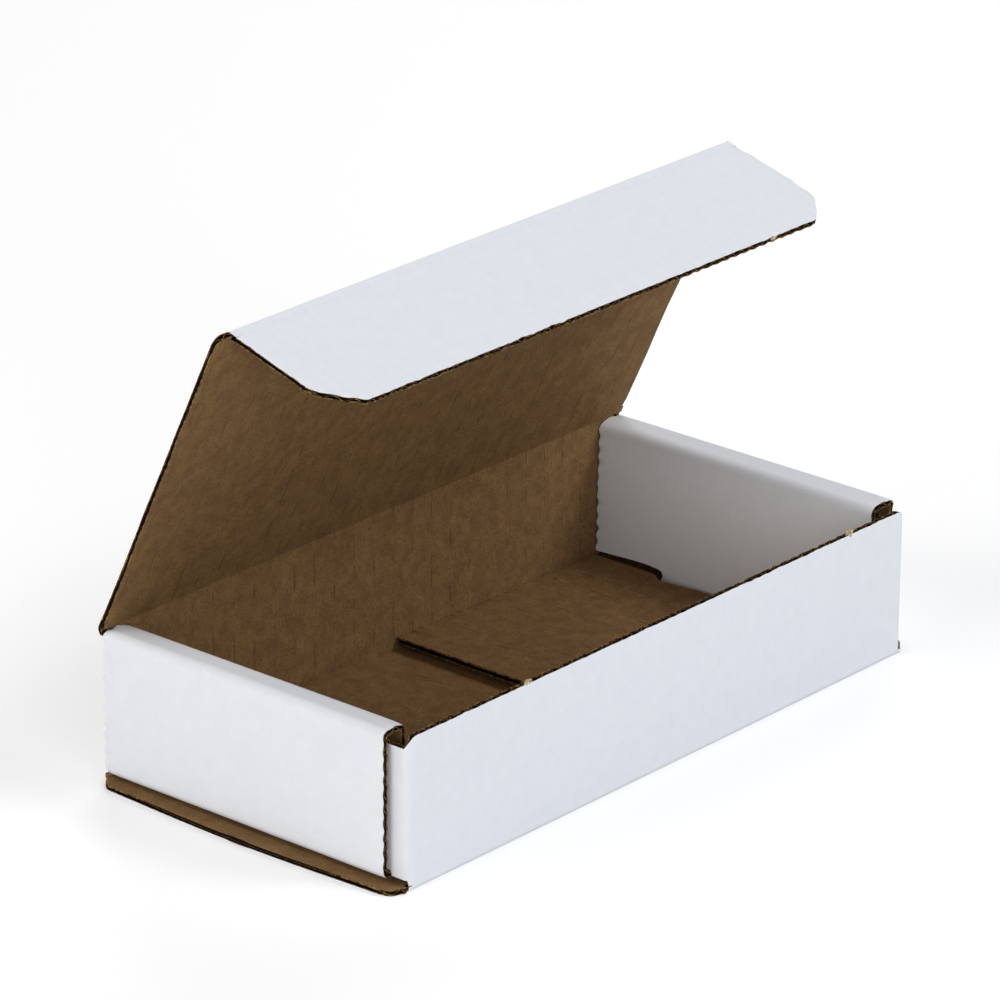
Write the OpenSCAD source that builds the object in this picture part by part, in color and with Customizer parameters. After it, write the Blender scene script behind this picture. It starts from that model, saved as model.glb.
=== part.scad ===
// Corrugated mailer box with roll-over ends, shown with its lid part open.
// Front is -Y, left is -X, up is +Z. The origin is the centre of the underside.
// Every wall is single-wall board: two liners with a fluted medium between them.

/* [Box] */
// length of the front wall, outside
box_len = 331; // [200:1:450]
// width of the box, front wall to back wall, outside
box_w = 170.5; // [120:0.5:260]
// height of the front wall
front_h = 69.8; // [50:0.1:110]
// height of the back wall, up to the lid's crease
back_h = 71.9; // [50:0.1:115]
// how far the lid stands open, measured from lying flat
lid_open = 65; // [25:1:88]
// how far the tuck flap is folded in from the lid's plane
tuck_fold = 82; // [10:1:100]

/* [Board] */
// thickness of the corrugated board
board = 3; // [2.2:0.1:4]
// distance from one flute to the next
flute_pitch = 6.45; // [5:0.05:9]
// thickness of each liner
liner = 0.4; // [0.25:0.05:0.7]
// thickness of the fluted medium
medium = 0.35; // [0.2:0.05:0.6]
// length over which a flute's crest lies on the liner
crest = 1.3; // [0.6:0.1:2]

/* [Bottom] */
// how far the bottom sticks out past each end wall at its middle
ledge = 11.4; // [8:0.1:16]
// how much less the bottom sticks out at its corners
ledge_bow = 3; // [0.5:0.1:5]
// corner radius of the bottom's ends
ledge_r = 9.5; // [3:0.5:12]
// corner radius at the front of the right end
right_ledge_r = 12.5; // [3:0.5:15]
// how far the bottom's ends stop short of the front and back walls' outsides
ledge_end = 1.4; // [0.5:0.1:2.5]
// length of the back wall's fold that runs on past each corner
back_lug_len = 2.5; // [1:0.1:5]
// height of that fold
back_lug_h = 4.2; // [3.5:0.1:4.4]

/* [Front and back walls] */
// corner radius at the top of the front wall
front_corner_r = 5.5; // [2:0.5:9]
// length of the dust flaps that fold round the corners
dust_len = 62; // [25:1:70]
// height of the dust flaps' top edge
dust_top = 65; // [40:0.5:100]
// height of the dust flaps' lower edge at the corner
dust_low = 5.4; // [4:0.1:7.5]

/* [End pieces] */
// how far each end wall stands outside the front wall's corner
end_out = 4.8; // [4:0.1:7]
// overall width of the rolled top, outside face to inside face
roll_w = 14; // [11:0.5:20]
// height of the rolled top
end_top = 71.6; // [50:0.1:112]
// radius of the roll's outside corners
roll_r = 3.8; // [3.1:0.1:4.5]
// space between the front wall's outside and the end pieces
end_front_gap = 10; // [8:0.5:14]
// space between the end pieces' inside and the back wall
end_back_gap = 0.5; // [0.3:0.1:2]
// how much further back the outer panels reach
outer_back = 1.4; // [0:0.1:3]
// height of the underside of the floor flaps
floor_z = 4.5; // [3.3:0.1:6]
// gap between the two floor flaps
floor_gap = 30; // [4:0.5:120]
// width of the tab at the foot of each inner panel
tab_w = 92; // [40:1:110]
// gap between the inner panel's edge and the floor flap
inner_gap = 1; // [0.4:0.1:2]
// distance from the inner panel to the slot's far edge, at the slot's ends
slot_end = 9.5; // [5:0.5:14]
// how much nearer that edge comes at the slot's middle
slot_bow = 4; // [0.5:0.5:6]

/* [Lid] */
// overhang of the lid past each end of the front wall
lid_over = 5; // [3:0.1:8]
// depth of the lid from the back crease to the tuck flap's crease
lid_depth = 162; // [110:0.5:250]
// radius of the lid's left front corner
lid_corner_r = 4.5; // [1:0.5:8]
// cut across the lid's right front corner
lid_corner_cut = 8.2; // [1:0.1:9]
// gap between the lid and the back wall at the crease
crease_gap = 0.2; // [0.15:0.05:0.5]
// relief on the outside of the lid crease, in degrees each side
lid_relief = 25; // [10:1:40]

/* [Tuck flap] */
// depth of the tuck flap
tuck_depth = 64.5; // [40:0.5:90]
// play between the tuck flap's side and a dust flap
tuck_play = 0.6; // [0.3:0.1:3]
// how much of each side the tuck flap's slanted corner takes off
tuck_cut = 17.5; // [5:0.5:30]
// radius of the slanted corner's slight bow
tuck_bow_r = 67; // [45:1:120]
// relief on the inside of the tuck crease, in degrees each side
tuck_relief = 56; // [46:1:62]

/* [Hidden] */
$fn = 48;
oyster_white = "#DFE3EA";
kraft_brown = "#8A6B49";
core = board - 2 * liner;
floor_top = floor_z + board;
floor_reach = (box_len - floor_gap) / 2;
end_y0 = end_front_gap;
end_y1 = box_w - board - end_back_gap;
end_mid = box_w / 2;
lid_len = box_len + 2 * lid_over;
lid_y = box_w - board;
lid_z = back_h;
tuck_len = box_len - 2 * board - 2 * tuck_play;
tuck_inset = (lid_len - tuck_len) / 2;
wall_in = roll_w - end_out;
tab_foot = board;
far = 600;

// one void under a crest of the medium
module void_low(x) {
    wide = flute_pitch / 2 - crest / 2 - medium / 2;
    narrow = crest / 2 - medium / 4;
    polygon([
        [x - wide, liner],
        [x + wide, liner],
        [x + narrow, liner + core - medium],
        [x - narrow, liner + core - medium]
    ]);
}

// one void over a trough of the medium
module void_high(x) {
    translate([0, board]) mirror([0, 1]) void_low(x);
}

// voids along a strip of board from x0 to x1, whole ones only
module voids(x0, x1) {
    count = floor((x1 - x0) / flute_pitch - 0.45);
    start = (x0 + x1 - count * flute_pitch) / 2;
    for (i = [0 : count - 1]) {
        void_low(start + (i + 0.25) * flute_pitch);
        void_high(start + (i + 0.75) * flute_pitch);
    }
}

// a board's cut section, len long, solid for s0 and s1 at its creases
module board_cut(len, s0, s1) {
    difference() {
        square([len, board]);
        voids(s0, len - s1);
    }
}

// what a round corner of radius r at the origin takes off the first quadrant
module corner_off(r) {
    difference() {
        translate([-1, -1]) square([r + 1, r + 1]);
        translate([r, r]) circle(r);
    }
}

// what a slanted, slightly bowed corner takes off at the origin
module corner_slant(cut, r) {
    centre = (cut + sqrt(2 * pow(r, 2) - pow(cut, 2))) / 2;
    difference() {
        translate([-1, -1]) square([cut + 1, cut + 1]);
        translate([centre, centre]) circle(r);
    }
}

// quarter bend of the board about the origin, outside radius r
module bend(r) {
    intersection() {
        difference() {
            circle(r);
            if (r > board) circle(r - board);
        }
        translate([-r, -r]) square([r, r]);
    }
}

// plan of a long wall and its two dust flaps, outside face on y = 0
module wall_plan() {
    difference() {
        union() {
            translate([board, 0]) board_cut(box_len - 2 * board, 0.6, 0.6);
            translate([board, board]) bend(board);
            translate([box_len - board, board]) mirror([1, 0]) bend(board);
        }
    }
    translate([0, board]) dust_plan();
    translate([box_len, board]) mirror([1, 0]) dust_plan();
}

module dust_plan() {
    translate([board, 0]) rotate(90) board_cut(dust_len - board, 1, 0);
}

// long wall with its dust flaps, from the bottom's upper face to top; its end
// pieces begin end_gap in from its outside face
module long_wall(top, corner_r, end_gap) {
    difference() {
        translate([0, 0, board]) linear_extrude(top - board) wall_plan();
        // dust flaps end below the wall's top and above the floor flaps
        for (x = [-1, box_len - board - 1]) {
            translate([x, board, dust_top]) cube([board + 2, dust_len + 1, far]);
            translate([x, board, -1]) cube([board + 2, dust_len + 1, dust_low + 1]);
            translate([x, end_gap - 0.4, -1]) cube([board + 2, dust_len, floor_top + 1.3]);
        }
        // top corners of the wall
        translate([0, board + 1, top]) rotate([90, 0, 0]) linear_extrude(board + 2) {
            mirror([0, 1]) corner_off(corner_r);
            translate([box_len, 0]) rotate(180) corner_off(corner_r);
        }
    }
}

// plan of the bottom's left end outside the walls, bowed, with round corners
module ledge_outline(front_r) {
    half = box_w / 2;
    bow_r = (half * half + ledge_bow * ledge_bow) / (2 * ledge_bow);
    difference() {
        intersection() {
            translate([-ledge, ledge_end]) square([ledge + 1, box_w - 2 * ledge_end]);
            translate([bow_r - ledge, half]) circle(bow_r, $fn = 720);
        }
        for (back = [0, 1]) {
            r = back == 0 ? front_r : ledge_r;
            cy = ledge_end + r;
            edge = bow_r - ledge - sqrt(bow_r * bow_r - (half - cy) * (half - cy));
            translate([0, back * box_w]) mirror([0, back]) difference() {
                translate([-2 * ledge, 0]) square([2 * ledge + edge + r - 0.3, cy]);
                translate([edge + r - 0.3, cy]) circle(r);
            }
        }
    }
}

// plan of the bottom, walls and both ends
module bottom_outline() {
    square([box_len, box_w]);
    ledge_outline(ledge_r);
    translate([box_len, 0]) mirror([1, 0]) ledge_outline(right_ledge_r);
}

// the bottom with its rounded folds and the open flutes along its cut ends
module bottom() {
    slit = core - 2 * medium;
    difference() {
        linear_extrude(board) bottom_outline();
        for (y = [0, box_w]) {
            translate([0, y, 0]) rotate([90, 0, 90]) linear_extrude(box_len)
                mirror([y == 0 ? 0 : 1, 0]) corner_off(board);
        }
        for (side = [0, 1]) {
            translate([side * box_len, 0, (board - slit) / 2]) mirror([side, 0, 0])
                linear_extrude(slit) difference() {
                    translate([-ledge - 1, right_ledge_r + board])
                        square([ledge + 1 - board, box_w - 2 * (right_ledge_r + board)]);
                    translate([flute_pitch / 2, 0]) ledge_outline(ledge_r);
                }
        }
    }
}

// front wall, bottom, back wall and the four dust flaps, one folded sheet
module tray() {
    color(oyster_white) translate([-box_len / 2, -box_w / 2, 0]) {
        bottom();
        long_wall(front_h, front_corner_r, end_front_gap);
        difference() {
            translate([0, box_w, 0]) mirror([0, 1, 0])
                long_wall(back_h - 0.1, 1, board + end_back_gap);
            // relief behind the lid's crease
            translate([-1, box_w - board, back_h]) rotate([90, 0, 90]) linear_extrude(box_len + 2)
                polygon([[0, 0], [far, 0], [far, -far * tan(lid_relief)]]);
        }
        // the back wall's fold runs on past its corners
        for (x = [-back_lug_len, box_len - board]) {
            translate([x, box_w - board, board - 0.5])
                cube([back_lug_len + board, board - 0.3, back_lug_h - board + 0.5]);
        }
    }
}

// section of a left end piece along its folds, x inward and z up
module end_section() {
    out = -end_out;
    top = end_top;
    r = roll_r;
    // floor flap
    translate([out + r, floor_z]) board_cut(floor_reach + end_out - r, 1, 0);
    // fold at the foot of the outer panel
    translate([out + r, floor_z + r]) bend(r);
    // outer panel
    translate([out + board, floor_z + r]) rotate(90) board_cut(top - floor_z - 2 * r, 0.8, 0.8);
    // rolled top
    translate([out + r, top - r]) mirror([0, 1]) bend(r);
    translate([out + r, top - board]) board_cut(roll_w - 2 * r, 0, 0);
    translate([wall_in - r, top - r]) rotate(180) bend(r);
    // inner panel with its tab
    translate([wall_in, tab_foot]) rotate(90) board_cut(top - r - tab_foot, 0, 0.8);
}

module end_piece() {
    difference() {
        translate([0, end_y1 + outer_back, 0]) rotate([90, 0, 0])
            linear_extrude(end_y1 + outer_back - end_y0) end_section();
        // only the outer panel reaches past the inside of the back wall
        translate([board - end_out, end_y1, 0]) cube([far, far, far]);
        // the inner panel ends above the floor flap on both sides of its tab
        for (side = [-1, 1]) {
            translate([0, end_mid + side * (tab_w / 2 + far / 2), 0])
                translate([wall_in - board - 0.1, -far / 2, tab_foot - 0.5])
                    cube([board + 0.2, far, 0.5 + floor_z - tab_foot]);
            translate([0, end_mid + side * (tab_w / 2 + far / 2), 0])
                translate([wall_in - board - 0.1, -far / 2, floor_top])
                    cube([board + 0.2, far, inner_gap]);
        }
        // slot in the floor flap for the tab
        slot_cut();
    }
}

// slot through the floor flap, clear of the tab on its outer side and its ends
module slot_cut() {
    half = tab_w / 2 + 1.5;
    r = (half * half + slot_bow * slot_bow) / (2 * slot_bow);
    translate([0, 0, floor_z - 0.5]) linear_extrude(board + 0.5) difference() {
        translate([wall_in - board - 1.5, end_mid - half]) square([board + 1.5 + slot_end, 2 * half]);
        translate([wall_in + slot_end - slot_bow + r, end_mid]) circle(r, $fn = 360);
        translate([wall_in - board, end_mid - tab_w / 2]) square([board, tab_w]);
    }
}

module left_end() {
    color(oyster_white) translate([-box_len / 2, -box_w / 2, 0]) end_piece();
}

module right_end() {
    color(oyster_white) translate([box_len / 2, -box_w / 2, 0]) mirror([1, 0, 0]) end_piece();
}

// a panel of board lying on z = 0 to board, flutes along y
module panel(len, depth) {
    translate([0, depth, 0]) rotate([90, 0, 0]) linear_extrude(depth) difference() {
        square([len, board]);
        voids(-flute_pitch, len + flute_pitch);
    }
}

// lid lying in its own plane: y from the crease, inside face on z = 0
module lid_flat() {
    intersection() {
        panel(lid_len, lid_depth);
        // creases relieved on the outside at the back and on the inside at the front
        translate([-1, 0, 0]) rotate([90, 0, 90]) linear_extrude(lid_len + 2)
            polygon([
                [crease_gap, -0.01],
                [crease_gap + board * tan(lid_relief), board + 0.01],
                [lid_depth - crease_gap, board + 0.01],
                [lid_depth - crease_gap - board * tan(tuck_relief), -0.01]
            ]);
        translate([0, 0, -1]) linear_extrude(board + 2) difference() {
            square([lid_len, lid_depth]);
            translate([0, lid_depth]) mirror([0, 1]) corner_off(lid_corner_r);
            translate([lid_len, lid_depth]) rotate(45)
                square([lid_corner_cut * sqrt(2), lid_corner_cut * sqrt(2)], center = true);
        }
    }
}

// tuck flap lying in its own plane: y from its crease, outside face on z = board
module tuck_flat() {
    intersection() {
        panel(tuck_len, tuck_depth);
        translate([-1, 0, 0]) rotate([90, 0, 90]) linear_extrude(tuck_len + 2)
            polygon([
                [crease_gap, board + 0.01],
                [crease_gap + board * tan(tuck_relief), -0.01],
                [tuck_depth, -0.01],
                [tuck_depth, board + 0.01]
            ]);
        translate([0, 0, -1]) linear_extrude(board + 2) difference() {
            square([tuck_len, tuck_depth]);
            translate([0, tuck_depth]) mirror([0, 1]) corner_slant(tuck_cut, tuck_bow_r);
            translate([tuck_len, tuck_depth]) rotate(180) corner_slant(tuck_cut, tuck_bow_r);
        }
    }
}

// from the lid's own plane to its place on the box
module on_lid() {
    translate([-box_len / 2 - lid_over, lid_y - box_w / 2, lid_z])
        rotate([-lid_open, 0, 0]) mirror([0, 1, 0]) children();
}

module lid() {
    color(kraft_brown) on_lid() lid_flat();
}

module tuck_flap() {
    color(oyster_white) on_lid()
        translate([tuck_inset, lid_depth, board]) rotate([-tuck_fold, 0, 0])
            translate([0, 0, -board]) tuck_flat();
}

tray();
left_end();
right_end();
lid();
tuck_flap();
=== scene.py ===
"""Corrugated mailer box with roll-over ends, dressed over its CAD frame.

Every wall is made as real board is: a white-topped outer liner, a fluted medium
and a kraft inner liner, so that each cut edge shows the flutes it has.
Sizes are in millimetres in the box's corner frame: x from the front wall's left
corner, y from the front wall's outside, z from the underside.
"""

import math

import bmesh
import bpy
from mathutils import Matrix, Vector, noise


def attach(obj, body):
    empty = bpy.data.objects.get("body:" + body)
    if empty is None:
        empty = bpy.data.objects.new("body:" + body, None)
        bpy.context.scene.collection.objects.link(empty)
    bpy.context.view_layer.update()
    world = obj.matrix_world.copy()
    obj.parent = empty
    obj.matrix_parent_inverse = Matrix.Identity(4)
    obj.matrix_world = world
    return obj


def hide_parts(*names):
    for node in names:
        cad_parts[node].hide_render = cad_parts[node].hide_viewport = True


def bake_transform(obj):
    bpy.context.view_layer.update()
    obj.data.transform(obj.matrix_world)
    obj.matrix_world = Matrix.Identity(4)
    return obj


MM = 0.001

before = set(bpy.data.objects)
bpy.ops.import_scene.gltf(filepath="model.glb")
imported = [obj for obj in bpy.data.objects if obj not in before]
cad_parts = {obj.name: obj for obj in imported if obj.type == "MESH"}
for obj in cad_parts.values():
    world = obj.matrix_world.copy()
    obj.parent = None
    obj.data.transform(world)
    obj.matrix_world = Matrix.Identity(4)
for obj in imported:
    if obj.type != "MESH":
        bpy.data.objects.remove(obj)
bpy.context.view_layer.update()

# ---------------------------------------------------------------- sizes
BOX_LEN = 331.0
BOX_W = 170.5
FRONT_H = 69.8
BACK_H = 71.9
BACK_CORNER_R = 0.01
LID_OPEN = math.radians(65)
TUCK_FOLD = math.radians(82)

BOARD = 3.0
PITCH = 6.45
LINER = 0.42
MEDIUM = 0.3

LEDGE = 11.4
LEDGE_BOW = 3.0
LEDGE_R = 9.5
RIGHT_LEDGE_R = 12.5
LEDGE_END = 1.4
LEDGE_ROUND_PAST = 0.3
LUG_LEN = 2.5
LUG_H = 4.2
LUG_INTO_WALL = 0.4
LUG_ROUND = 0.5

FRONT_CORNER_R = 5.5
DUST_LEN = 62.0
DUST_TOP = 65.0
DUST_LOW = 5.4
DUST_PLAY = 0.3
DUST_NOTCH_PLAY = 0.4

END_OUT = 4.8
ROLL_W = 14.0
END_TOP = 71.6
ROLL_R = 3.8
END_FRONT_GAP = 10.0
END_BACK_GAP = 0.5
OUTER_BACK = 1.4
FLOOR_Z = 4.5
FLOOR_GAP = 30.0
TAB_W = 92.0
INNER_GAP = 1.0
FOOT_ARCH = 1.3
FOOT_ARCH_REACH = 10.0
SLOT_END = 9.5
SLOT_BOW = 4.0
SLOT_PLAY = 1.5
SLOT_BLEND = 8.0
TAB_UNDER = 0.1
FLAP_LIFT = 0.5
# the right inner panel stands further in than the left one and leans, its tab
# is narrower, and its slot runs on to the back
RIGHT_IN = 2.3
RIGHT_LEAN = 1.6
RIGHT_TAB_CUT = 3.0
RIGHT_SLOT = 2.2
RIGHT_SLOT_BACK = 15.0
RIGHT_STRIP = 1.2
RIGHT_FLAP_LIFT = 1.7
SHOULDER_SLOPE = 0.7
SHOULDER_PLAY = 2.0

LID_OVER = 5.0
LID_DEPTH = 162.0
LID_CORNER_R = 4.5
LID_CORNER_CUT = 8.2
LID_CORNER_BACK = 0.3
TUCK_DEPTH = 64.5
TUCK_PLAY = 0.6
TUCK_CUT = 17.5
TUCK_BOW_R = 67.0
TUCK_RIGHT_CUT = 14.0
TUCK_FULL = 1.6
TUCK_FULL_POWER = 6

HALF = BOARD / 2
FLOOR_TOP = FLOOR_Z + BOARD
FLOOR_REACH = (BOX_LEN - FLOOR_GAP) / 2
END_Y0 = END_FRONT_GAP
END_Y1 = BOX_W - BOARD - END_BACK_GAP
WALL_IN = ROLL_W - END_OUT
LID_LEN = BOX_LEN + 2 * LID_OVER
TUCK_LEN = BOX_LEN - 2 * BOARD - 2 * TUCK_PLAY
TUCK_INSET = (LID_LEN - TUCK_LEN) / 2
# columns lie this far apart, so that eight follow each flute
FLUTE_STEP = PITCH / 8
# distances from a cut edge at which the rows lie closer together
EDGE_ROWS = (0.5, 1.2, 2.4, 4.5)
# distances from a panel's side at which there are more columns
SIDE_COLUMNS = (0.06, 0.2, 0.45)
# columns lie this close before a step in the lid's or its strip's outline
LID_STEP = 0.01
STRIP_STEP = 0.02
# how far apart the rows lie along the flutes of each panel
WALL_ROWS = 12
BOTTOM_ROWS = 8
LEDGE_ROWS = 4
TAB_ROWS = 10
INNER_PANEL_ROWS = 4
SLOT_STRIP_ROWS = 10
FLOOR_FLAP_ROWS = 3
LID_ROWS = 16
TUCK_ROWS = 8
TUCK_CREASE_ROWS = 1.2
# an edge turned more than this is drawn sharp
SHARP = math.radians(40)
# torn nicks: distance along the edge, and the noise that shapes each
FRONT_NICKS = ((75.5, 1.0), (292.5, 4.0))
FRONT_NICK_SIZE = (2.3, 1.3, 1.7)
FRONT_NICK_DOWN = 0.5
TUCK_NICK = (280.5, 7.0)
TUCK_NICK_SIZE = (2.2, 0.9, 1.2)
TUCK_NICK_IN = 0.4
NICK_LUMPS = 0.9
NICK_UNEVEN = 0.3

# how far the liners follow the flutes, at a cut edge and inside a panel
EDGE_WAVE = 0.55
PANEL_WAVE = 0.03
EDGE_FADE = 2.2
# how much the outer liner sinks between flutes at a cut edge
EDGE_DIP = 0.4
# how uneven both are from flute to flute, and over what length
UNEVEN = 0.6
UNEVEN_MM = 9.0
# how far the die presses the liners together at a cut along the flutes
CRUSH = 0.75
CRUSH_FADE = 1.2
CRUSH_MM = 5.0
# how far each side of a crease its bent strip reaches
BACK_STRIP = 3.0
TUCK_STRIP = 5.0
BACK_STRIP_DOWN = 5.0
BACK_STRIP_ROUND = 4.0
BACK_STRIP_THIN = 0.3
# the inside and outside of the tuck flap's crease
TUCK_CREASE_IN_R = 0.5
TUCK_CREASE_OUT_R = 1.3


# ---------------------------------------------------------------- colours
def srgb(code):
    """A linear colour with alpha from an sRGB hex code."""
    out = []
    for i in (0, 2, 4):
        c = int(code[i : i + 2], 16) / 255
        out.append(c / 12.92 if c <= 0.04045 else ((c + 0.055) / 1.055) ** 2.4)
    return (*out, 1.0)


def add(tree, kind, links=None, values=None, **settings):
    """Adds a node with its settings, its socket values and its links."""
    node = tree.nodes.new(kind)
    for key, value in settings.items():
        setattr(node, key, value)
    for key, value in (values or {}).items():
        node.inputs[key].default_value = value
    for key, source in (links or {}).items():
        tree.links.new(source, node.inputs[key])
    return node


def paper(name, code, roughness, specular):
    """A matt paper: its material, node tree, shader and Object coordinates."""
    mat = bpy.data.materials.new(name)
    mat.use_nodes = True
    tree = mat.node_tree
    shader = tree.nodes["Principled BSDF"]
    shader.inputs["Base Color"].default_value = srgb(code)
    shader.inputs["Roughness"].default_value = roughness
    shader.inputs["Specular IOR Level"].default_value = specular
    return mat, tree, shader, add(tree, "ShaderNodeTexCoord").outputs["Object"]


def patches(tree, place, mm, low, high, most=1.0, detail=2.0):
    """A mask of random patches about mm wide, from nothing up to most."""
    cloud = add(
        tree, "ShaderNodeTexNoise", {"Vector": place}, {"Scale": 1 / (mm * MM), "Detail": detail}
    )
    levels = {"From Min": low, "From Max": high, "To Min": 0.0, "To Max": most}
    return add(tree, "ShaderNodeMapRange", {"Value": cloud.outputs["Fac"]}, levels).outputs[0]


def white_topped_liner():
    """Bleached paper over brown, smoothed between rolls: matt white, faintly cloudy
    where the brown ply shows through, with a very fine tooth."""
    mat, tree, shader, place = paper("white_topped_liner", "E9EDF2", 0.6, 0.25)
    thin_ply = patches(tree, place, 6, 0.3, 0.7, detail=5.0)
    ply = add(
        tree,
        "ShaderNodeMixRGB",
        {"Fac": thin_ply},
        {"Color1": srgb("EAEDF3"), "Color2": srgb("EDF0F5")},
    )
    # fibre clumps are about 0.5 mm; drawn at 1 mm so that they show
    clump = patches(tree, place, 1, 0.56, 0.8, 0.28)
    white = add(
        tree,
        "ShaderNodeMixRGB",
        {"Fac": clump, "Color1": ply.outputs[0]},
        {"Color2": srgb("D6DAE0")},
    )
    tooth = patches(tree, place, 0.8, 0.2, 0.8)
    bump = add(tree, "ShaderNodeBump", {"Height": tooth}, {"Strength": 0.2, "Distance": 0.00006})
    tree.links.new(white.outputs[0], shader.inputs["Base Color"])
    tree.links.new(bump.outputs[0], shader.inputs["Normal"])
    return mat


def crack_lines(tree, place):
    """Thin dark lines where the sheet gave way over a flute: one in two flutes,
    0.5 mm wide, broken up along its length."""
    axes = add(tree, "ShaderNodeSeparateXYZ", {"Vector": place})
    x = axes.outputs["X"]
    flute = add(tree, "ShaderNodeMath", {0: x}, {1: 1 / (2 * PITCH * MM)}, operation="MULTIPLY")
    nearest = add(tree, "ShaderNodeMath", {0: flute.outputs[0]}, operation="ROUND")
    aside = add(
        tree, "ShaderNodeMath", {0: flute.outputs[0], 1: nearest.outputs[0]}, operation="SUBTRACT"
    )
    aside = add(tree, "ShaderNodeMath", {0: aside.outputs[0]}, operation="ABSOLUTE")
    levels = {"From Min": 0.008, "From Max": 0.03, "To Min": 1.0, "To Max": 0.0}
    line = add(tree, "ShaderNodeMapRange", {"Value": aside.outputs[0]}, levels)
    own = add(
        tree,
        "ShaderNodeCombineXYZ",
        {"X": nearest.outputs[0], "Y": axes.outputs["Y"], "Z": axes.outputs["Z"]},
    )
    broken = patches(tree, own.outputs[0], 9, 0.5, 0.6, 0.62)
    both = add(tree, "ShaderNodeMath", {0: line.outputs[0], 1: broken}, operation="MULTIPLY")
    return both.outputs[0]


def kraft_liner():
    """Unbleached kraft: brown and cloudy, streaked the way of the flutes, with
    darker slivers of bark, and crack lines over the flutes."""
    mat, tree, shader, place = paper("kraft_liner", "8A6942", 0.85, 0.15)
    cloudy = add(
        tree,
        "ShaderNodeMixRGB",
        {"Fac": patches(tree, place, 7, 0.3, 0.72, detail=6.0)},
        {"Color1": srgb("7D6040"), "Color2": srgb("92734B")},
    )
    # streaks 2 mm wide and 12 mm long
    along = add(tree, "ShaderNodeMapping", {"Vector": place}, {"Scale": (1.0, 0.17, 0.17)})
    streak = patches(tree, along.outputs[0], 1.5, 0.4, 0.75, 0.26, detail=4.0)
    brown = add(
        tree,
        "ShaderNodeMixRGB",
        {"Fac": streak, "Color1": cloudy.outputs[0]},
        {"Color2": srgb("6A4C2C")},
    )
    # bark slivers are 0.3 mm; drawn near 1 mm so that they show
    grain = patches(tree, place, 1.0, 0.46, 0.74, 0.62, detail=4.0)
    speckled = add(
        tree,
        "ShaderNodeMixRGB",
        {"Fac": grain, "Color1": brown.outputs[0]},
        {"Color2": srgb("553818")},
    )
    lined = add(
        tree,
        "ShaderNodeMixRGB",
        {"Fac": crack_lines(tree, place), "Color1": speckled.outputs[0]},
        {"Color2": srgb("2A1B0D")},
    )
    bump = add(tree, "ShaderNodeBump", {"Height": grain}, {"Strength": 0.4, "Distance": 0.0001})
    tree.links.new(lined.outputs[0], shader.inputs["Base Color"])
    tree.links.new(bump.outputs[0], shader.inputs["Normal"])
    return mat


def torn_paper(name, code, fibre, mm):
    """Paper seen at its cut or torn edge: raw and fuzzy, with paler fibres in it."""
    mat, tree, shader, place = paper(name, code, 0.95, 0.05)
    fuzzy = add(
        tree,
        "ShaderNodeMixRGB",
        {"Fac": patches(tree, place, mm, 0.42, 0.66)},
        {"Color1": srgb(code), "Color2": srgb(fibre)},
    )
    tree.links.new(fuzzy.outputs[0], shader.inputs["Base Color"])
    return mat


WHITE_LINER = white_topped_liner()
KRAFT_LINER = kraft_liner()
# raw cut paper, written darker than it is: partly painted shade, for the shade that the cut edges
# lie in
CUT_PAPER_AND_SHADE = torn_paper("die_cut_liner_edge_and_shade", "4C3922", "A58556", 1.6)
# the medium lies in the shade between the liners, and is written that dark
FLUTING = torn_paper("corrugated_fluting_medium", "1A130C", "2E2216", 3.0)
NICK_PAPER = torn_paper("torn_nick_fibres", "A88C64", "E2D2B8", 1.0)
COATS = [WHITE_LINER, KRAFT_LINER, CUT_PAPER_AND_SHADE, FLUTING, NICK_PAPER]
WHITE, KRAFT, CUT, FLUTE, NICK = range(5)


# ---------------------------------------------------------------- folded paths
class Path:
    """The mid line of a folded board, seen end-on. White side is on its right."""

    def __init__(self, start, heading, moves):
        self.parts = []
        x, y = start
        a = math.radians(heading)
        s = 0.0
        for kind, size, *more in moves:
            if kind == "go":
                self.parts.append(("go", s, size, x, y, a))
                x += size * math.cos(a)
                y += size * math.sin(a)
                s += size
            else:
                turn, r = math.radians(size), more[0]
                self.parts.append(("turn", s, r * turn, x, y, a, r))
                cx, cy = x - r * math.sin(a), y + r * math.cos(a)
                a += turn
                x, y = cx + r * math.sin(a), cy - r * math.cos(a)
                s += r * turn
        self.length = s

    def at(self, s):
        """Point and outward normal at distance s."""
        part = self.parts[0]
        for p in self.parts:
            if s >= p[1] - 1e-9:
                part = p
        kind, s0, size, x, y, a = part[:6]
        d = s - s0
        if kind == "go":
            x, y = x + d * math.cos(a), y + d * math.sin(a)
        else:
            r = part[6]
            b = a + d / r
            x, y = x - r * math.sin(a) + r * math.sin(b), y + r * math.cos(a) - r * math.cos(b)
            a = b
        return (x, y), (math.sin(a), -math.cos(a))

    def stations(self, step, arc_steps=8):
        """Distances along the path, close together in its bends."""
        out = [0.0]
        for part in self.parts:
            n = arc_steps if part[0] == "turn" else max(1, math.ceil(part[2] / step))
            out += [part[1] + part[2] * (i + 1) / n for i in range(n)]
        return out


def spread(a, b, step):
    """Positions from a to b, step apart, closer together near both ends."""
    *near, last = EDGE_ROWS
    mids = b - a - 2 * last
    n = max(1, math.ceil(mids / step))
    inner = [a + last + mids * i / n for i in range(n + 1)]
    return [a] + [a + e for e in near] + inner + [b - e for e in reversed(near)] + [b]


# ---------------------------------------------------------------- board
def wave(c):
    """The flutes' height across them, from -1 to 1."""
    return math.cos(2 * math.pi * c / PITCH)


def uneven(a, b, seed):
    """Slow random variation between about -1 and 1."""
    return 2 * noise.noise(Vector((a, b, seed)))


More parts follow.
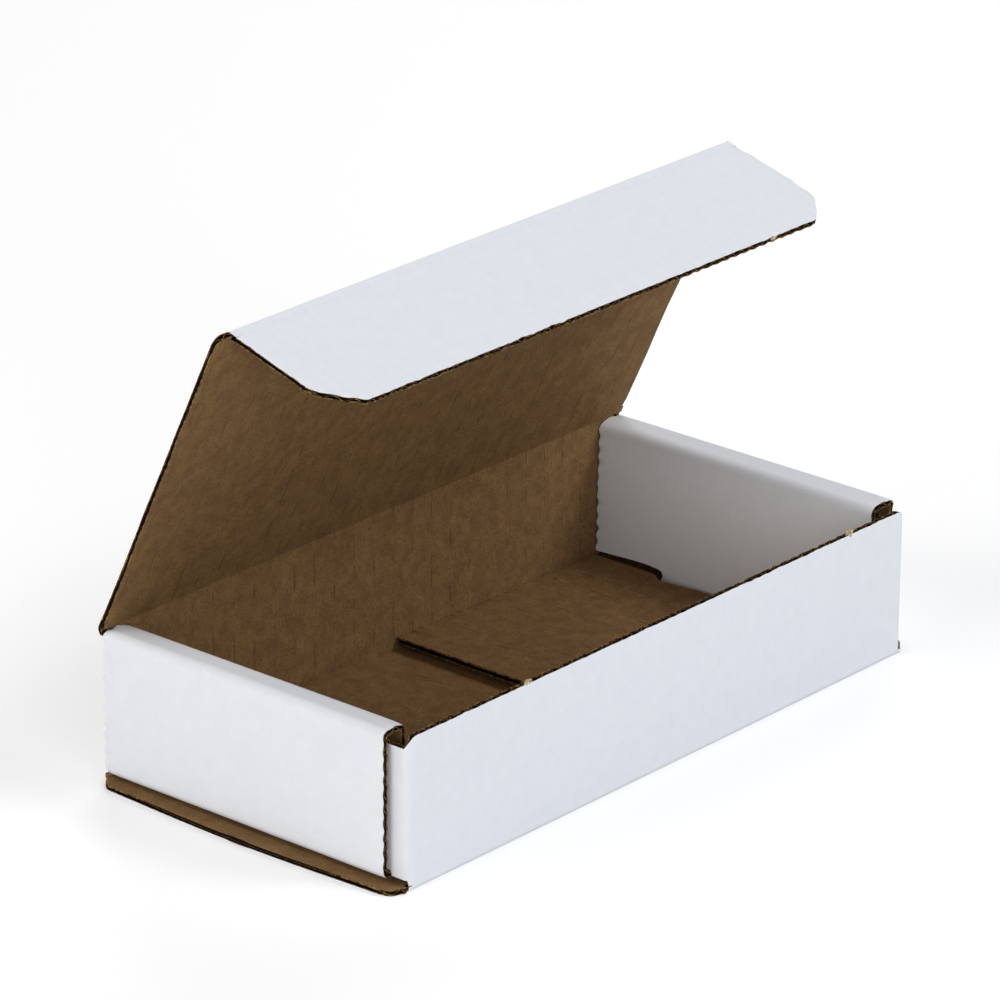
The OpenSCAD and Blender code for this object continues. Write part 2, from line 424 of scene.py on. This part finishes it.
def skin(columns, rows, point, outward, thickness, face, edge):
    """A grid bent to point(column, row) and given a thickness away from outward,
    the side that its face points to."""
    bm = bmesh.new()
    m, n = len(columns) - 1, len(rows) - 1
    bmesh.ops.create_grid(bm, x_segments=m, y_segments=n, size=1)
    middle = None
    for v in bm.verts:
        i = round((v.co.x + 1) / 2 * m)
        j = round((v.co.y + 1) / 2 * n)
        v.co = point(columns[i], rows[j])
        if (i, j) == (m // 2, n // 2):
            middle = v
    bm.normal_update()
    if middle.normal.dot(outward(columns[m // 2], rows[n // 2])) < 0:
        bmesh.ops.reverse_faces(bm, faces=bm.faces[:])
        bm.normal_update()
    for f in bm.faces:
        f.material_index = face
    shown, front = set(bm.faces), set(bm.verts)
    bmesh.ops.solidify(bm, geom=bm.faces[:], thickness=thickness)
    for f in bm.faces:
        f.smooth = True
        if f not in shown:
            f.material_index = edge if any(v in front for v in f.verts) else FLUTE
    for e in bm.edges:
        if len(e.link_faces) == 2 and e.calc_face_angle(0) > SHARP:
            e.smooth = False
    return bm


def finish_piece(name, parts, body=None, node=None):
    """Joins bmesh parts, in the part's frame in mm, into one object in metres."""
    mesh = bpy.data.meshes.new(name)
    joined = bmesh.new()
    for bm in parts:
        part = bpy.data.meshes.new(name + "_part")
        bm.to_mesh(part)
        joined.from_mesh(part)
        bm.free()
        bpy.data.meshes.remove(part)
    bmesh.ops.scale(joined, vec=(MM, MM, MM), verts=joined.verts[:])
    joined.to_mesh(mesh)
    joined.free()
    for coat in COATS:
        mesh.materials.append(coat)
    piece = bpy.data.objects.new(name, mesh)
    bpy.context.scene.collection.objects.link(piece)
    if body:
        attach(piece, body)
    if node:
        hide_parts(node)
    return piece


def board(
    columns,
    rows,
    place,
    domain=lambda c, f: (c, f),
    open_low=True,
    open_high=True,
    cut_sides=False,
):
    """Outer liner, medium and inner liner of a panel.
    c runs across the flutes and f along them; place(c, f, n) puts a point n out
    from the mid surface; domain gives the panel its outline. The liners are wavy
    at the low and high ends of f where those are cut open, and crushed at the
    first and last column where those are cut. At a cut top the outer liner sinks
    between the flutes."""
    far = 1000.0
    seed = place(columns[0], domain(columns[0], rows[0])[1], 0).length

    def size(c, row):
        """How large the flutes' marks are at a flute, against the usual."""
        return 1 + UNEVEN * uneven(c / UNEVEN_MM, row, seed)

    def fade(c, f):
        """How far the liners follow the flutes."""
        low, high = domain(c, rows[0])[1], domain(c, rows[-1])[1]
        near = min(abs(f - low) if open_low else far, abs(high - f) if open_high else far)
        return PANEL_WAVE + (EDGE_WAVE * size(c, 0) - PANEL_WAVE) * math.exp(-near / EDGE_FADE)

    def liner_point(side):
        def point(u, v):
            c, f = domain(u, v)
            n = side * HALF + fade(u, f) * (wave(c) - side) * 0.5
            if cut_sides:
                near = min(u - columns[0], columns[-1] - u)
                crush = CRUSH * (0.5 + 0.5 * uneven(f / CRUSH_MM, side, seed))
                n -= side * max(0.0, crush) * math.exp(-near / CRUSH_FADE)
            if side > 0 and open_high:
                dip = EDGE_DIP * (0.5 - 0.5 * wave(c)) * size(c, 3)
                f -= dip * math.exp(f - domain(u, rows[-1])[1])
            return place(c, f, n)

        return point

    def medium_point(u, v):
        c, f = domain(u, v)
        return place(c, f, (HALF - LINER - MEDIUM / 2) * wave(c) + MEDIUM / 2)

    def outward(side):
        def direction(u, v):
            c, f = domain(u, v)
            return place(c, f, side) - place(c, f, 0)

        return direction

    return [
        skin(columns, rows, liner_point(1), outward(1), LINER, WHITE, CUT),
        skin(columns, rows, liner_point(-1), outward(-1), LINER, KRAFT, CUT),
        skin(columns, rows, medium_point, outward(1), MEDIUM, FLUTE, CUT),
    ]


def to_frame(x, y, z):
    """From the box's corner frame to the part's frame, both in mm."""
    return Vector((x - BOX_LEN / 2, y - BOX_W / 2, z))


# ---------------------------------------------------------------- tray
def wall_path():
    """Plan of the front wall with its dust flaps, from the left flap's end."""
    return Path(
        (HALF, DUST_LEN),
        -90,
        [
            ("go", DUST_LEN - BOARD),
            ("turn", 90, HALF),
            ("go", BOX_LEN - 2 * BOARD),
            ("turn", 90, HALF),
            ("go", DUST_LEN - BOARD),
        ],
    )


def long_wall(top, corner_r, end_gap, back=False):
    """The front or back wall with its dust flaps, up to the height of top."""
    path = wall_path()
    flap = DUST_LEN - BOARD
    bend = math.pi / 2 * HALF
    total = path.length

    def heights(c):
        """Lower and upper edge at distance c along the plan."""
        c = min(c, total - c)
        if c >= flap:
            (x, _), (nx, _) = path.at(c)
            drop = corner_drop(x + HALF * nx, corner_r)
            return (BOARD if c >= flap + bend * 0.5 else DUST_LOW), top - drop
        y = DUST_LEN - c
        low = DUST_LOW if y < end_gap - DUST_NOTCH_PLAY else FLOOR_TOP + DUST_PLAY
        return low, min(DUST_TOP, top - corner_r)

    def domain(c, v):
        low, high = heights(c)
        return c, low + (high - low) * v

    def place(c, f, n):
        (x, y), (nx, ny) = path.at(c)
        x, y = x + n * nx, y + n * ny
        return to_frame(x, BOX_W - y if back else y, f)

    columns = path.stations(FLUTE_STEP)
    rows = [v / top for v in spread(0, top, WALL_ROWS)]
    return board(columns, rows, place, domain, open_low=False, open_high=not back)


def bottom():
    """The bottom, with the folds up to the front and back walls."""
    path = Path(
        (HALF, BOARD),
        -90,
        [("turn", 90, HALF), ("go", BOX_W - 2 * BOARD), ("turn", 90, HALF)],
    )

    def place(c, f, n):
        (y, z), (ny, nz) = path.at(f)
        return to_frame(c, y + n * ny, z + n * nz)

    count = math.ceil(BOX_LEN / FLUTE_STEP)
    columns = [BOX_LEN * i / count for i in range(count + 1)]
    return board(columns, path.stations(BOTTOM_ROWS), place, open_low=False, open_high=False)


def ledge(right=False):
    """The bottom's end outside the walls, bowed, with round corners."""
    half = BOX_W / 2
    bow_r = (half**2 + LEDGE_BOW**2) / (2 * LEDGE_BOW)

    def limit(d, r):
        """How near the ledge comes to the long side's outside at reach d."""
        cy = LEDGE_END + r
        edge = LEDGE - (half - cy) ** 2 / (2 * bow_r) + LEDGE_ROUND_PAST
        round_y = cy - math.sqrt(max(0.0, r**2 - max(0.0, d - (edge - r)) ** 2))
        inner = bow_r - (LEDGE - d)
        bow_y = half - math.sqrt(max(0.0, bow_r**2 - inner**2))
        return max(LEDGE_END, round_y, bow_y)

    def domain(d, v):
        low = limit(d, RIGHT_LEDGE_R if right else LEDGE_R)
        high = BOX_W - limit(d, LEDGE_R)
        return d, low + (high - low) * v

    def place(d, y, n):
        return to_frame(BOX_LEN + d if right else -d, y, HALF - n)

    straight, bowed = 10, 14
    columns = [(LEDGE - LEDGE_BOW) * i / straight for i in range(straight + 1)]
    # closer together towards the bow's end, and stopping just short of it
    stop = 0.02
    for i in range(1, bowed + 1):
        columns.append(LEDGE - stop - (LEDGE_BOW - stop) * (1 - i / bowed) ** 2)
    rows = [v / BOX_W for v in spread(0, BOX_W, LEDGE_ROWS)]
    return board(columns, rows, place, domain)


def lug(right=False):
    """The back wall's fold, running on past the corner."""
    bm = bmesh.new()
    made = bmesh.ops.create_cube(bm, size=1.0)
    x = BOX_LEN + LUG_LEN / 2 if right else -LUG_LEN / 2
    centre = to_frame(x, BOX_W - HALF, (LUG_H + HALF) / 2)
    shape = (LUG_LEN + LUG_INTO_WALL, BOARD, LUG_H - HALF)
    bmesh.ops.scale(bm, vec=shape, verts=made["verts"])
    bmesh.ops.translate(bm, vec=centre, verts=made["verts"])
    for f in bm.faces:
        f.material_index = CUT
    bmesh.ops.bevel(
        bm,
        geom=bm.edges[:],
        offset=LUG_ROUND,
        segments=2,
        profile=0.5,
        affect="EDGES",
        material=-1,
    )
    return [bm]


# ---------------------------------------------------------------- end pieces
def end_piece(right=False):
    """Tab, inner panel, rolled top, outer panel and floor flap, as one sheet.
    The floor flap's free end stands up a little, the right one more. The slot
    for the right tab runs on to the back, below the panel's arched foot."""
    lift = RIGHT_FLAP_LIFT if right else FLAP_LIFT
    mid_r = ROLL_R - HALF
    foot = BOARD + TAB_UNDER
    path = Path(
        (WALL_IN - HALF, foot),
        90,
        [
            ("go", END_TOP - ROLL_R - foot),
            ("turn", 90, mid_r),
            ("go", ROLL_W - 2 * ROLL_R),
            ("turn", 90, mid_r),
            ("go", END_TOP - FLOOR_Z - 2 * ROLL_R),
            ("turn", 90, mid_r),
            ("go", FLOOR_REACH + END_OUT - ROLL_R),
        ],
    )
    starts = [part[1] for part in path.parts] + [path.length]
    floor_start = starts[6]
    mid = BOX_W / 2
    slot_half = TAB_W / 2 + SLOT_PLAY

    def on_floor(x):
        """Distance along the sheet of the floor flap's point at x."""
        return floor_start + x + END_OUT - ROLL_R

    panel_foot = FLOOR_TOP + INNER_GAP - foot
    slot_near = on_floor(WALL_IN - BOARD - SLOT_PLAY)
    slot_far = on_floor(WALL_IN + SLOT_END)
    tab_back = mid + TAB_W / 2 - (RIGHT_TAB_CUT if right else 0.0)
    strip_start = END_Y1 - RIGHT_STRIP if right else mid + slot_half

    def back_edge(c):
        """The outer panel reaches further back than the rest."""
        rise = min(max((c - starts[3]) / (starts[4] - starts[3]), 0), 1)
        fall = min(max((starts[6] - c) / (starts[6] - starts[5]), 0), 1)
        return END_Y1 + OUTER_BACK * min(rise, fall)

    def span(low, high):
        def domain(c, v):
            return c, low + (high - low) * v

        return domain

    def slot_edge(y):
        """Distance along the sheet of the slot's edge on the floor at y."""
        bow = SLOT_BOW * max(0.0, 1 - ((y - mid) / slot_half) ** 2)
        if not right or not mid - slot_half < y < strip_start:
            return slot_far - bow
        shoulder = SHOULDER_SLOPE * max(0.0, tab_back + SHOULDER_PLAY - y)
        return min(slot_far + RIGHT_SLOT - bow, on_floor(RIGHT_SLOT_BACK) + shoulder)

    def past_slot(c, v):
        y = END_Y0 + (END_Y1 - END_Y0) * v
        near = slot_edge(y)
        if c < slot_far + SLOT_BLEND:
            c = near + (c - slot_far) / SLOT_BLEND * (slot_far + SLOT_BLEND - near)
        return c, y

    def arched(c, v):
        """The inner panel, its foot arched from the tab to the back."""
        y = END_Y0 + (back_edge(c) - END_Y0) * v
        along = min(max((y - tab_back) / (END_Y1 - tab_back), 0.0), 1.0)
        arch = FOOT_ARCH * math.sin(math.pi * math.sqrt(along))
        return c + arch * max(0.0, 1 - (c - panel_foot) / FOOT_ARCH_REACH), y

    def inward(c):
        """How much further in than the left one the right inner panel stands."""
        if c < starts[1]:
            return RIGHT_IN + RIGHT_LEAN * (1 - c / starts[1])
        return RIGHT_IN * max(0.0, (starts[3] - c) / (starts[3] - starts[1]))

    def place(c, f, n):
        (x, z), (nx, nz) = path.at(c)
        x, z = x + n * nx, z + n * nz
        x += inward(c) if right else 0.0
        z += lift * max(0.0, (c - slot_far) / (path.length - slot_far)) ** 2
        return to_frame(BOX_LEN - x if right else x, f, z)

    def between(a, b, gap=0.2):
        """Columns from a to b, none nearer to them than gap."""
        inner = [c for c in path.stations(FLUTE_STEP) if a + gap < c < b - gap]
        return [a] + inner + [b]

    def rows(length, step):
        return [v / length for v in spread(0, length, step)]

    depth = END_Y1 - END_Y0
    tab = span(mid - TAB_W / 2, tab_back)
    front_strip = span(END_Y0, mid - slot_half)
    back_strip = span(strip_start, END_Y1)
    beside_slot = between(slot_near, slot_far), rows(slot_half, SLOT_STRIP_ROWS), place
    return (
        board(between(0, panel_foot), rows(TAB_W, TAB_ROWS), place, tab)
        + board(between(panel_foot, slot_near), rows(depth, INNER_PANEL_ROWS), place, arched)
        + board(*beside_slot, front_strip)
        + board(*beside_slot, back_strip)
        + board(between(slot_far, path.length), rows(depth, FLOOR_FLAP_ROWS), place, past_slot)
    )


# ---------------------------------------------------------------- lid
def on_lid(x, y, z):
    """From the lid's own plane: y from its crease, z out from its inside face."""
    return to_frame(
        x - LID_OVER,
        BOX_W - BOARD - y * math.cos(LID_OPEN) + z * math.sin(LID_OPEN),
        BACK_H + y * math.sin(LID_OPEN) + z * math.cos(LID_OPEN),
    )


def on_tuck(x, y, z):
    """From the tuck flap's own plane: y from its crease, z out from its inside."""
    z -= BOARD
    return on_lid(
        x + TUCK_INSET,
        LID_DEPTH + y * math.cos(TUCK_FOLD) + z * math.sin(TUCK_FOLD),
        BOARD - y * math.sin(TUCK_FOLD) + z * math.cos(TUCK_FOLD),
    )


def corner_drop(d, r):
    """What a round corner takes off at distance d from the side."""
    return r - math.sqrt(max(0.0, r**2 - max(0.0, r - d) ** 2))


def slant_drop(d, cut, r):
    """What a slanted, slightly bowed corner takes off at distance d from the side."""
    centre = (cut + math.sqrt(2 * r**2 - cut**2)) / 2
    return centre - math.sqrt(r**2 - (centre - d) ** 2) if d < cut else 0.0


def side_columns(length):
    """Columns over a panel, closer together at its sides."""
    count = math.ceil(length / FLUTE_STEP)
    inner = [length * i / count for i in range(count + 1)]
    far_side = [length - d for d in reversed(SIDE_COLUMNS)]
    return [0.0, *SIDE_COLUMNS, *inner[1:-1], *far_side, length]


def lid():
    """The lid between its creases, with its corners beside the tuck flap."""
    tuck_end = TUCK_INSET + TUCK_LEN

    def domain(x, v):
        if TUCK_INSET <= x <= tuck_end:
            high = LID_DEPTH - TUCK_STRIP
        elif x < TUCK_INSET:
            high = LID_DEPTH - LID_CORNER_BACK - corner_drop(x, LID_CORNER_R)
        else:
            high = LID_DEPTH - LID_CORNER_BACK - max(0.0, LID_CORNER_CUT - (LID_LEN - x))
        return x, BACK_STRIP + (high - BACK_STRIP) * v

    def place(x, y, n):
        return on_lid(x, y, HALF + n)

    columns = side_columns(LID_LEN)
    columns += [TUCK_INSET - LID_STEP, TUCK_INSET, tuck_end, tuck_end + LID_STEP]
    rows = [v / LID_DEPTH for v in spread(0, LID_DEPTH, LID_ROWS)]
    return board(
        sorted(columns), rows, place, domain, open_low=False, open_high=False, cut_sides=True
    )


def tuck_flap():
    """The right side was cut fuller than the left."""

    def domain(x, v):
        left = slant_drop(x, TUCK_CUT, TUCK_BOW_R)
        right = slant_drop(TUCK_LEN - x, TUCK_RIGHT_CUT, TUCK_BOW_R)
        y = TUCK_STRIP + (TUCK_DEPTH - left - right - TUCK_STRIP) * v
        full = max(0.0, math.sin(math.pi * (y - TUCK_STRIP) / (TUCK_DEPTH - TUCK_STRIP)))
        return x + TUCK_FULL * full * (x / TUCK_LEN) ** TUCK_FULL_POWER, y

    def place(x, y, n):
        return on_tuck(x, y, HALF + n)

    rows = [v / TUCK_DEPTH for v in spread(0, TUCK_DEPTH, TUCK_ROWS)]
    columns = side_columns(TUCK_LEN)
    return board(columns, rows, place, domain, open_low=False, cut_sides=True)


def back_crease():
    """The strip of board that bends between the back wall and the lid."""
    path = Path(
        (BOX_W - HALF, BACK_H - BACK_STRIP_DOWN),
        90,
        [
            ("go", BACK_STRIP_DOWN),
            ("turn", 90 - math.degrees(LID_OPEN), HALF),
            ("go", BACK_STRIP),
        ],
    )
    below = BACK_STRIP_DOWN - BACK_STRIP

    def domain(x, v):
        out = max(-x, x - BOX_LEN, 0.0) / LID_OVER
        rounded = BACK_STRIP_ROUND - BACK_STRIP_ROUND * math.sqrt(max(0.0, 1 - out**2))
        low = below if out == 0 else rounded
        return x, low + (path.length - low) * v

    def place(x, f, n):
        (y, z), (ny, nz) = path.at(f)
        out = max(-x, x - BOX_LEN, 0.0)
        if f < BACK_STRIP_DOWN and out > 0:
            n = max(n, -BACK_STRIP_THIN * min(1.0, out))
        return to_frame(x, y + n * ny, z + n * nz)

    count = math.ceil(LID_LEN / FLUTE_STEP)
    columns = [-LID_OVER + LID_LEN * i / count for i in range(count + 1)]
    columns += [-STRIP_STEP, BOX_LEN + STRIP_STEP]
    steps = 14
    rows = [i / steps for i in range(steps + 1)]
    return board(sorted(columns), rows, place, domain, open_low=False, open_high=False)


def tuck_crease():
    """Both liners of the crease between the lid and the tuck flap."""
    fold = -math.degrees(TUCK_FOLD)
    mitre = BOARD * math.tan(TUCK_FOLD / 2)

    def strip(start_z, start_gap, r, side, face):
        t = r * math.tan(TUCK_FOLD / 2)
        run = TUCK_STRIP - start_gap - t
        moves = [("go", run), ("turn", fold, -r), ("go", run)]
        path = Path((LID_DEPTH - TUCK_STRIP, start_z), 0, moves)

        def point(x, f):
            (y, z), _ = path.at(f)
            return on_lid(x + TUCK_INSET, y, z)

        def outward(x, f):
            (y, z), (ny, nz) = path.at(f)
            return side * (on_lid(x, y - ny, z - nz) - on_lid(x, y, z))

        count = math.ceil(TUCK_LEN / (2 * FLUTE_STEP))
        columns = [TUCK_LEN * i / count for i in range(count + 1)]
        rows = path.stations(TUCK_CREASE_ROWS, arc_steps=6)
        return skin(columns, rows, point, outward, LINER, face, CUT)

    return [
        strip(BOARD, 0.0, TUCK_CREASE_OUT_R, 1, WHITE),
        strip(0.0, mitre, TUCK_CREASE_IN_R, -1, KRAFT),
    ]


def nick(place, size, seed):
    """A torn tuft left where a small bridge held the blank in its sheet."""
    bm = bmesh.new()
    bmesh.ops.create_icosphere(bm, subdivisions=4, radius=1.0)
    for v in bm.verts:
        spot = v.co * NICK_LUMPS
        curl = v.co * (1 + NICK_UNEVEN * uneven(spot.x, spot.y, seed + spot.z))
        v.co = place(curl.x * size[0], curl.y * size[1], curl.z * size[2])
    bmesh.ops.recalc_face_normals(bm, faces=bm.faces[:])
    for f in bm.faces:
        f.material_index = NICK
        f.smooth = True
    return bm


def front_nick(x, seed):
    """A nick on the front wall's top edge."""

    def place(a, b, c):
        return to_frame(x + a, HALF + b, FRONT_H - FRONT_NICK_DOWN + c)

    return nick(place, FRONT_NICK_SIZE, seed)


def tuck_nick(x, seed):
    """A nick on the tuck flap's free edge."""

    def place(a, b, c):
        return on_tuck(x + a, TUCK_DEPTH - TUCK_NICK_IN + b, HALF + c)

    return nick(place, TUCK_NICK_SIZE, seed)


def metres(point):
    return tuple(c * MM for c in point)


tray = long_wall(FRONT_H, FRONT_CORNER_R, END_FRONT_GAP) + bottom()
tray += long_wall(BACK_H - BACK_STRIP, BACK_CORNER_R, BOARD + END_BACK_GAP, back=True)
tray += ledge() + ledge(right=True) + lug() + lug(right=True)
tray += [front_nick(x, seed) for x, seed in FRONT_NICKS]
finish_piece("tray_sheet", tray, "tray", "tray")
finish_piece("left_end_sheet", end_piece(), "tray", "left_end")
finish_piece("right_end_sheet", end_piece(right=True), "tray", "right_end")
finish_piece("lid_panel", lid(), "lid", "lid")
finish_piece("tuck_panel", tuck_flap() + [tuck_nick(*TUCK_NICK)], "tuck_flap", "tuck_flap")
bent = finish_piece("back_crease_strip", back_crease())
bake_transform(bent)
bent = finish_piece("tuck_crease_strip", tuck_crease())
metres(on_tuck(TUCK_LEN / 2, TUCK_STRIP, HALF))
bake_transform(bent)


# ---------------------------------------------------------------- stage
CAMERA_AT = (-1.9118, -1.6328, 1.1162)
CAMERA_AZ = math.radians(-49.345)
CAMERA_EL = math.radians(21.981)
CAMERA_ROLL = math.radians(0.351)
FOCAL_PX = 6299.0
PHOTO_PX = 1000.0
FLOOR_HALF = 12.0
# what the floor and backdrop show to the camera, beside the lamps' light
FLOOR_GLOW = 0.3
ROOM_LIGHT = 0.08


def camera():
    """The camera solved from the box's corners in the photo."""
    data = bpy.data.cameras.new("camera")
    data.sensor_width = 36.0
    data.lens = FOCAL_PX / PHOTO_PX * data.sensor_width
    data.clip_end = 50.0
    cam = bpy.data.objects.new("camera", data)
    bpy.context.scene.collection.objects.link(cam)
    flat, rise = math.cos(CAMERA_EL), math.sin(CAMERA_EL)
    back = Vector((math.sin(CAMERA_AZ) * flat, -math.cos(CAMERA_AZ) * flat, rise))
    level = Vector((math.cos(CAMERA_AZ), math.sin(CAMERA_AZ), 0))
    up0 = back.cross(level)
    right = level * math.cos(CAMERA_ROLL) + up0 * math.sin(CAMERA_ROLL)
    up = back.cross(right)
    turn = Matrix((right, up, back)).transposed().to_4x4()
    cam.matrix_world = Matrix.Translation(Vector(CAMERA_AT)) @ turn
    bpy.context.scene.camera = cam


def lamp(name, place, aim, size, watts, code):
    """A square window of light."""
    data = bpy.data.lights.new(name, "AREA")
    data.shape = "SQUARE"
    data.size = size
    data.energy = watts
    data.color = srgb(code)[:3]
    ob = bpy.data.objects.new(name, data)
    bpy.context.scene.collection.objects.link(ob)
    ob.location = place
    ob.rotation_euler = (Vector(aim) - Vector(place)).to_track_quat("-Z", "Y").to_euler()


def stage():
    """A pale floor that keeps the object's shadow, a white backdrop and the lamps."""
    scene = bpy.context.scene
    scene.view_settings.view_transform = "Standard"
    bm = bmesh.new()
    bmesh.ops.create_grid(bm, x_segments=1, y_segments=1, size=FLOOR_HALF)
    mesh = bpy.data.meshes.new("floor")
    bm.to_mesh(mesh)
    bm.free()
    floor = bpy.data.objects.new("floor", mesh)
    scene.collection.objects.link(floor)
    mat = bpy.data.materials.new("pale_floor")
    mat.use_nodes = True
    tree = mat.node_tree
    shader = tree.nodes["Principled BSDF"]
    shader.inputs["Base Color"].default_value = srgb("F4F4F4")
    shader.inputs["Roughness"].default_value = 1.0
    shader.inputs["Specular IOR Level"].default_value = 0.0
    glow = add(tree, "ShaderNodeEmission", None, {"Color": srgb("FFFFFF"), "Strength": FLOOR_GLOW})
    path = add(tree, "ShaderNodeLightPath")
    none = add(tree, "ShaderNodeEmission", None, {"Color": srgb("000000"), "Strength": 0.0})
    seen = add(
        tree,
        "ShaderNodeMixShader",
        {0: path.outputs["Is Camera Ray"], 1: none.outputs[0], 2: glow.outputs[0]},
    )
    both = add(tree, "ShaderNodeAddShader", {0: shader.outputs[0], 1: seen.outputs[0]})
    tree.links.new(both.outputs[0], tree.nodes["Material Output"].inputs["Surface"])
    mesh.materials.append(mat)

    world = bpy.data.worlds.new("studio")
    scene.world = world
    world.use_nodes = True
    tree = world.node_tree
    back = tree.nodes["Background"]
    back.inputs["Color"].default_value = srgb("FFFFFF")
    back.inputs["Strength"].default_value = ROOM_LIGHT
    white = add(tree, "ShaderNodeBackground", None, {"Color": srgb("FFFFFF"), "Strength": 1.0})
    path = add(tree, "ShaderNodeLightPath")
    mix = add(
        tree,
        "ShaderNodeMixShader",
        {0: path.outputs["Is Camera Ray"], 1: back.outputs[0], 2: white.outputs[0]},
    )
    tree.links.new(mix.outputs[0], tree.nodes["World Output"].inputs["Surface"])
    aim = (0, 0, 0.05)
    lamp("window_right_behind", (2.0, 1.4, 2.2), aim, 1.6, 29, "FFFFFF")
    lamp("window_left_behind", (-1.6, 1.2, 2.2), aim, 1.4, 17, "FFFCFA")
    lamp("window_left", (-2.6, 0.3, 0.8), aim, 1.2, 24.5, "FFFBF6")
    lamp("window_front_left", (-1.4, -2.4, 1.0), aim, 1.6, 26.5, "F8FBFF")
    lamp("window_front_right", (1.2, -2.0, 2.3), aim, 1.2, 43.5, "FAFCFF")


camera()
stage()
